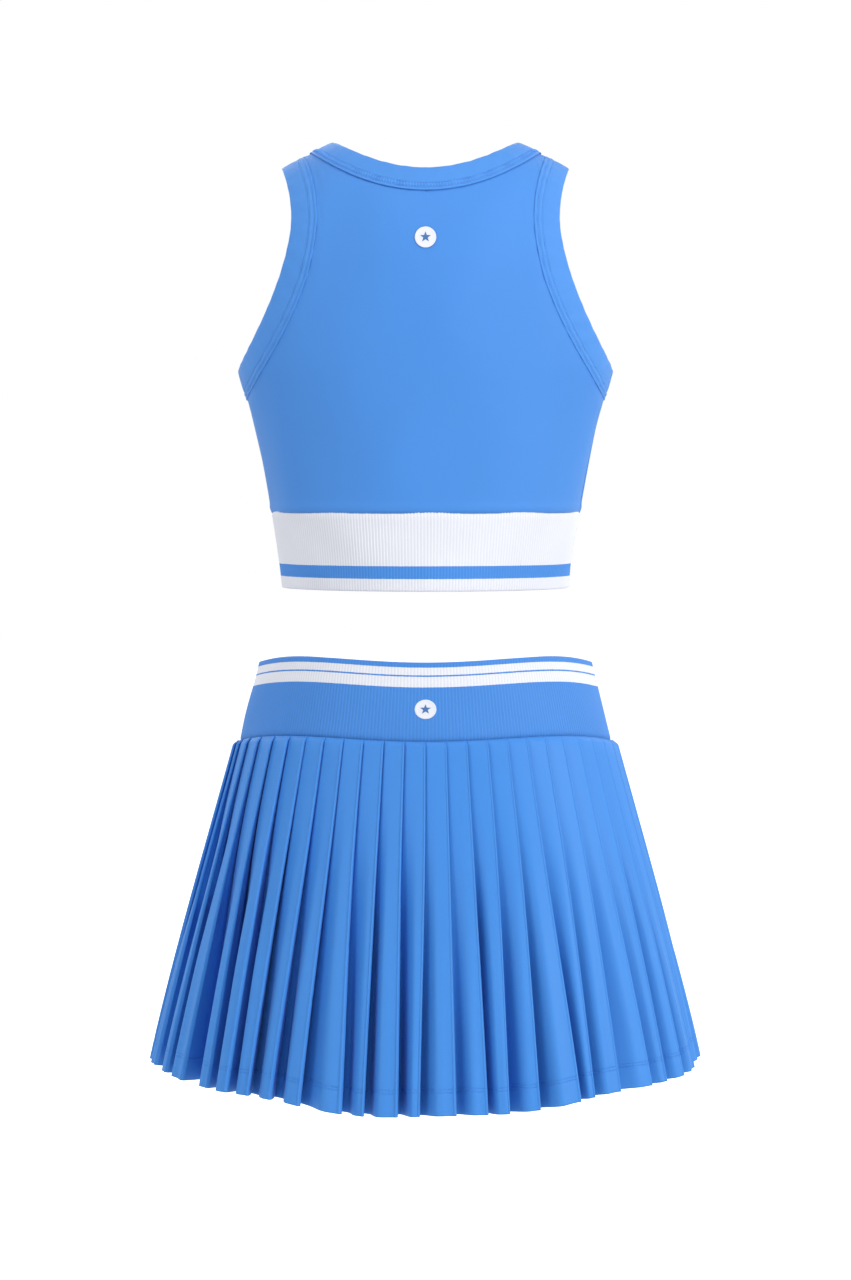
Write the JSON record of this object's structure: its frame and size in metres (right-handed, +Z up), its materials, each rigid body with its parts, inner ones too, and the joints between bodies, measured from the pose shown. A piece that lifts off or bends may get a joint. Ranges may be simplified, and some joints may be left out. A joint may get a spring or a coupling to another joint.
{
  "type": "cheer uniform",
  "caption": "Two-piece cheer uniform: sleeveless cropped racer-cut top with a striped rib underband, and a knife-pleated skirt with a rib waistband and sewn-in shorts.",
  "frame": {"origin": "centre of the skirt's waist opening", "axes": "+Z up the wearer's body, +X to the wearer's left, -Y to the wearer's front"},
  "size_m": [0.4689, 0.3976, 0.8093],
  "materials": {
    "knit_blue": "matte",
    "band_blue": "matte",
    "rib_white": "matte",
    "rib_blue": "matte",
    "pleat_blue": "satin",
    "badge_white": "satin",
    "label_satin": "satin"
  },
  "bodies": {
    "skirt": {"waistband": "rib_blue", "shorts_left_panel": "knit_blue", "shorts_right_panel": "knit_blue", "shorts_gusset": "knit_blue", "skirt_badge": "badge_white"},
    "top": {"top_back_panel": "knit_blue", "top_front_panel": "knit_blue", "neckband": "band_blue", "armhole_band_left": "band_blue", "armhole_band_right": "band_blue", "underband": "rib_white", "top_badge": "badge_white"},
    "neck_label": {"neck_label": "label_satin"},
    "waist_label": {"waist_label": "label_satin"},
    "pleats_01": {"pleat_section_01": "pleat_blue"},
    "pleats_02": {"pleat_section_02": "pleat_blue"},
    "pleats_03": {"pleat_section_03": "pleat_blue"},
    "pleats_04": {"pleat_section_04": "pleat_blue"},
    "pleats_05": {"pleat_section_05": "pleat_blue"},
    "pleats_06": {"pleat_section_06": "pleat_blue"},
    "pleats_07": {"pleat_section_07": "pleat_blue"},
    "pleats_08": {"pleat_section_08": "pleat_blue"},
    "pleats_09": {"pleat_section_09": "pleat_blue"},
    "pleats_10": {"pleat_section_10": "pleat_blue"},
    "pleats_11": {"pleat_section_11": "pleat_blue"},
    "pleats_12": {"pleat_section_12": "pleat_blue"},
    "pleats_13": {"pleat_section_13": "pleat_blue"},
    "pleats_14": {"pleat_section_14": "pleat_blue"},
    "pleats_15": {"pleat_section_15": "pleat_blue"},
    "pleats_16": {"pleat_section_16": "pleat_blue"},
    "pleats_17": {"pleat_section_17": "pleat_blue"},
    "pleats_18": {"pleat_section_18": "pleat_blue"},
    "pleats_19": {"pleat_section_19": "pleat_blue"},
    "pleats_20": {"pleat_section_20": "pleat_blue"},
    "pleats_21": {"pleat_section_21": "pleat_blue"},
    "pleats_22": {"pleat_section_22": "pleat_blue"},
    "pleats_23": {"pleat_section_23": "pleat_blue"},
    "pleats_24": {"pleat_section_24": "pleat_blue"},
    "pleats_25": {"pleat_section_25": "pleat_blue"},
    "pleats_26": {"pleat_section_26": "pleat_blue"}
  },
  "joints": [
    {"name": "top_lift", "type": "slide", "parent": "skirt", "child": "top", "axis": [0, 0, 1], "range_m": [0, 0.12]},
    {"name": "neck_label_flap", "type": "hinge", "parent": "top", "child": "neck_label", "pos_m": [0, 0.0802, 0.3899], "axis": [-1, 0, 0], "range_deg": [0, 75]},
    {"name": "waist_label_flap", "type": "hinge", "parent": "skirt", "child": "waist_label", "pos_m": [0, 0.1025, 0.0017], "axis": [-1, 0, 0], "range_deg": [0, 75]},
    {"name": "flare_01", "type": "hinge", "parent": "skirt", "child": "pleats_01", "pos_m": [-0.01685, 0.11498, -0.05901], "axis": [0.9973, 0.0732, 0], "range_deg": [0, 12]},
    {"name": "flare_02", "type": "hinge", "parent": "skirt", "child": "pleats_02", "pos_m": [-0.05019, 0.10995, -0.05956], "axis": [0.9749, 0.2228, 0], "range_deg": [0, 12]},
    {"name": "flare_03", "type": "hinge", "parent": "skirt", "child": "pleats_03", "pos_m": [-0.08232, 0.09969, -0.06069], "axis": [0.9241, 0.3821, 0], "range_deg": [0, 12]},
    {"name": "flare_04", "type": "hinge", "parent": "skirt", "child": "pleats_04", "pos_m": [-0.11207, 0.08375, -0.06243], "axis": [0.8307, 0.5567, 0], "range_deg": [0, 12]},
    {"name": "flare_05", "type": "hinge", "parent": "skirt", "child": "pleats_05", "pos_m": [-0.13759, 0.06161, -0.06486], "axis": [0.6665, 0.7455, 0], "range_deg": [0, 12]},
    {"name": "flare_06", "type": "hinge", "parent": "skirt", "child": "pleats_06", "pos_m": [-0.15579, 0.03312, -0.06797], "axis": [0.3907, 0.9205, 0], "range_deg": [0, 12]},
    {"name": "flare_07", "type": "hinge", "parent": "skirt", "child": "pleats_07", "pos_m": [-0.1626, 0, -0.0716], "axis": [0, 1, 0], "range_deg": [0, 12]},
    {"name": "flare_08", "type": "hinge", "parent": "skirt", "child": "pleats_08", "pos_m": [-0.15579, -0.03312, -0.07523], "axis": [-0.3907, 0.9205, 0], "range_deg": [0, 12]},
    {"name": "flare_09", "type": "hinge", "parent": "skirt", "child": "pleats_09", "pos_m": [-0.13759, -0.06161, -0.07834], "axis": [-0.6665, 0.7455, 0], "range_deg": [0, 12]},
    {"name": "flare_10", "type": "hinge", "parent": "skirt", "child": "pleats_10", "pos_m": [-0.11207, -0.08375, -0.08077], "axis": [-0.8307, 0.5567, 0], "range_deg": [0, 12]},
    {"name": "flare_11", "type": "hinge", "parent": "skirt", "child": "pleats_11", "pos_m": [-0.08232, -0.09969, -0.08251], "axis": [-0.9241, 0.3821, 0], "range_deg": [0, 12]},
    {"name": "flare_12", "type": "hinge", "parent": "skirt", "child": "pleats_12", "pos_m": [-0.05019, -0.10995, -0.08364], "axis": [-0.9749, 0.2228, 0], "range_deg": [0, 12]},
    {"name": "flare_13", "type": "hinge", "parent": "skirt", "child": "pleats_13", "pos_m": [-0.01685, -0.11498, -0.08419], "axis": [-0.9973, 0.0732, 0], "range_deg": [0, 12]},
    {"name": "flare_14", "type": "hinge", "parent": "skirt", "child": "pleats_14", "pos_m": [0.01685, -0.11498, -0.08419], "axis": [-0.9973, -0.0732, 0], "range_deg": [0, 12]},
    {"name": "flare_15", "type": "hinge", "parent": "skirt", "child": "pleats_15", "pos_m": [0.05019, -0.10995, -0.08364], "axis": [-0.9749, -0.2228, 0], "range_deg": [0, 12]},
    {"name": "flare_16", "type": "hinge", "parent": "skirt", "child": "pleats_16", "pos_m": [0.08232, -0.09969, -0.08251], "axis": [-0.9241, -0.3821, 0], "range_deg": [0, 12]},
    {"name": "flare_17", "type": "hinge", "parent": "skirt", "child": "pleats_17", "pos_m": [0.11207, -0.08375, -0.08077], "axis": [-0.8307, -0.5567, 0], "range_deg": [0, 12]},
    {"name": "flare_18", "type": "hinge", "parent": "skirt", "child": "pleats_18", "pos_m": [0.13759, -0.06161, -0.07834], "axis": [-0.6665, -0.7455, 0], "range_deg": [0, 12]},
    {"name": "flare_19", "type": "hinge", "parent": "skirt", "child": "pleats_19", "pos_m": [0.15579, -0.03312, -0.07523], "axis": [-0.3907, -0.9205, 0], "range_deg": [0, 12]},
    {"name": "flare_20", "type": "hinge", "parent": "skirt", "child": "pleats_20", "pos_m": [0.1626, 0, -0.0716], "axis": [0, -1, 0], "range_deg": [0, 12]},
    {"name": "flare_21", "type": "hinge", "parent": "skirt", "child": "pleats_21", "pos_m": [0.15579, 0.03312, -0.06797], "axis": [0.3907, -0.9205, 0], "range_deg": [0, 12]},
    {"name": "flare_22", "type": "hinge", "parent": "skirt", "child": "pleats_22", "pos_m": [0.13759, 0.06161, -0.06486], "axis": [0.6665, -0.7455, 0], "range_deg": [0, 12]},
    {"name": "flare_23", "type": "hinge", "parent": "skirt", "child": "pleats_23", "pos_m": [0.11207, 0.08375, -0.06243], "axis": [0.8307, -0.5567, 0], "range_deg": [0, 12]},
    {"name": "flare_24", "type": "hinge", "parent": "skirt", "child": "pleats_24", "pos_m": [0.08232, 0.09969, -0.06069], "axis": [0.9241, -0.3821, 0], "range_deg": [0, 12]},
    {"name": "flare_25", "type": "hinge", "parent": "skirt", "child": "pleats_25", "pos_m": [0.05019, 0.10995, -0.05956], "axis": [0.9749, -0.2228, 0], "range_deg": [0, 12]},
    {"name": "flare_26", "type": "hinge", "parent": "skirt", "child": "pleats_26", "pos_m": [0.01685, 0.11498, -0.05901], "axis": [0.9973, -0.0732, 0], "range_deg": [0, 12]}
  ],
  "couplings": [
    {"joint": "flare_02", "follows": "flare_01", "ratio": 1},
    {"joint": "flare_03", "follows": "flare_01", "ratio": 1},
    {"joint": "flare_04", "follows": "flare_01", "ratio": 1},
    {"joint": "flare_05", "follows": "flare_01", "ratio": 1},
    {"joint": "flare_06", "follows": "flare_01", "ratio": 1},
    {"joint": "flare_07", "follows": "flare_01", "ratio": 1},
    {"joint": "flare_08", "follows": "flare_01", "ratio": 1},
    {"joint": "flare_09", "follows": "flare_01", "ratio": 1},
    {"joint": "flare_10", "follows": "flare_01", "ratio": 1},
    {"joint": "flare_11", "follows": "flare_01", "ratio": 1},
    {"joint": "flare_12", "follows": "flare_01", "ratio": 1},
    {"joint": "flare_13", "follows": "flare_01", "ratio": 1},
    {"joint": "flare_14", "follows": "flare_01", "ratio": 1},
    {"joint": "flare_15", "follows": "flare_01", "ratio": 1},
    {"joint": "flare_16", "follows": "flare_01", "ratio": 1},
    {"joint": "flare_17", "follows": "flare_01", "ratio": 1},
    {"joint": "flare_18", "follows": "flare_01", "ratio": 1},
    {"joint": "flare_19", "follows": "flare_01", "ratio": 1},
    {"joint": "flare_20", "follows": "flare_01", "ratio": 1},
    {"joint": "flare_21", "follows": "flare_01", "ratio": 1},
    {"joint": "flare_22", "follows": "flare_01", "ratio": 1},
    {"joint": "flare_23", "follows": "flare_01", "ratio": 1},
    {"joint": "flare_24", "follows": "flare_01", "ratio": 1},
    {"joint": "flare_25", "follows": "flare_01", "ratio": 1},
    {"joint": "flare_26", "follows": "flare_01", "ratio": 1}
  ]
}
